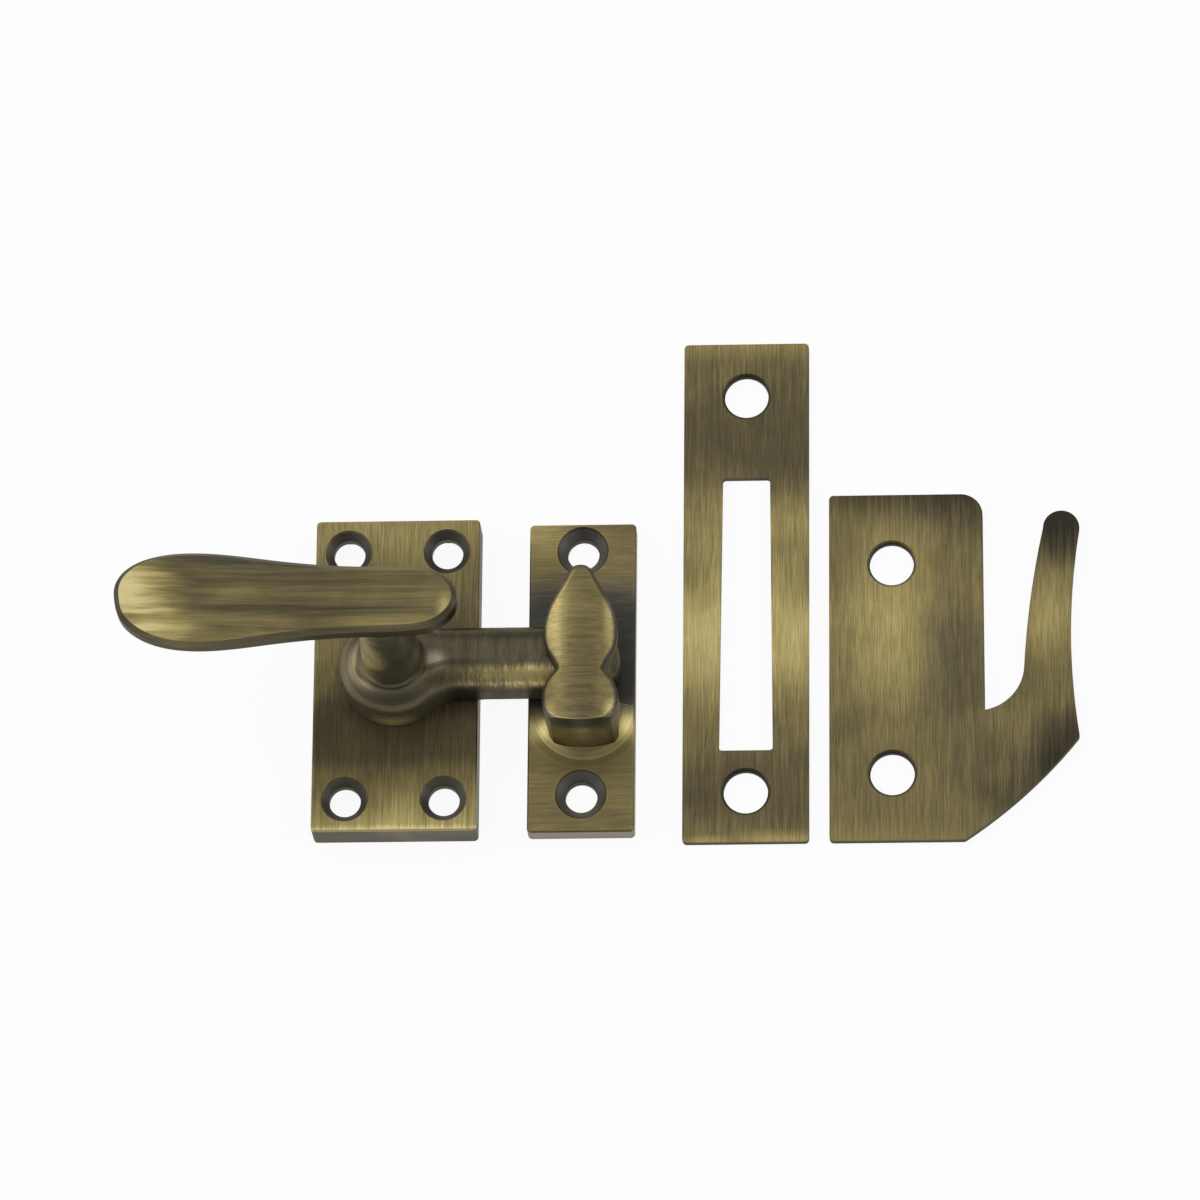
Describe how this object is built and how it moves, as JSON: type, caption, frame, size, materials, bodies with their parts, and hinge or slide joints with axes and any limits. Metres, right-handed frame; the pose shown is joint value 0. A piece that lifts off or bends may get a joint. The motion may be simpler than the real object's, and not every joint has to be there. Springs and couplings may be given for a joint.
{
  "type": "casement fastener",
  "caption": "Brass casement window fastener: lever handle with a tongue that turns behind a hook keeper, with a slotted mortise strike and a hooked rim strike.",
  "frame": {"origin": "middle of the base plate's mounting face, on the axis of the turning handle", "axes": "+Z away from the window, +X along the seated tongue towards the keeper, +Y along the plates"},
  "size_m": [0.1674, 0.0947, 0.05],
  "materials": {
    "cast_brass": "brushed antique patina",
    "sheet_brass": "brushed antique patina",
    "turned_brass": "turned",
    "spring_steel": "dull"
  },
  "bodies": {
    "fixed_plates": {"base_plate": "cast_brass", "hook_keeper": "cast_brass", "mortise_strike": "sheet_brass", "rim_strike": "sheet_brass"},
    "handle": {"turn_handle": "cast_brass", "spring_washer": "spring_steel", "retaining_washer": "sheet_brass", "pivot_screw": "turned_brass"}
  },
  "joints": [
    {"name": "handle_turn", "type": "hinge", "parent": "fixed_plates", "child": "handle", "pos_m": [0, 0, 0], "axis": [0, 0, 1], "range_deg": [0, 90]}
  ]
}
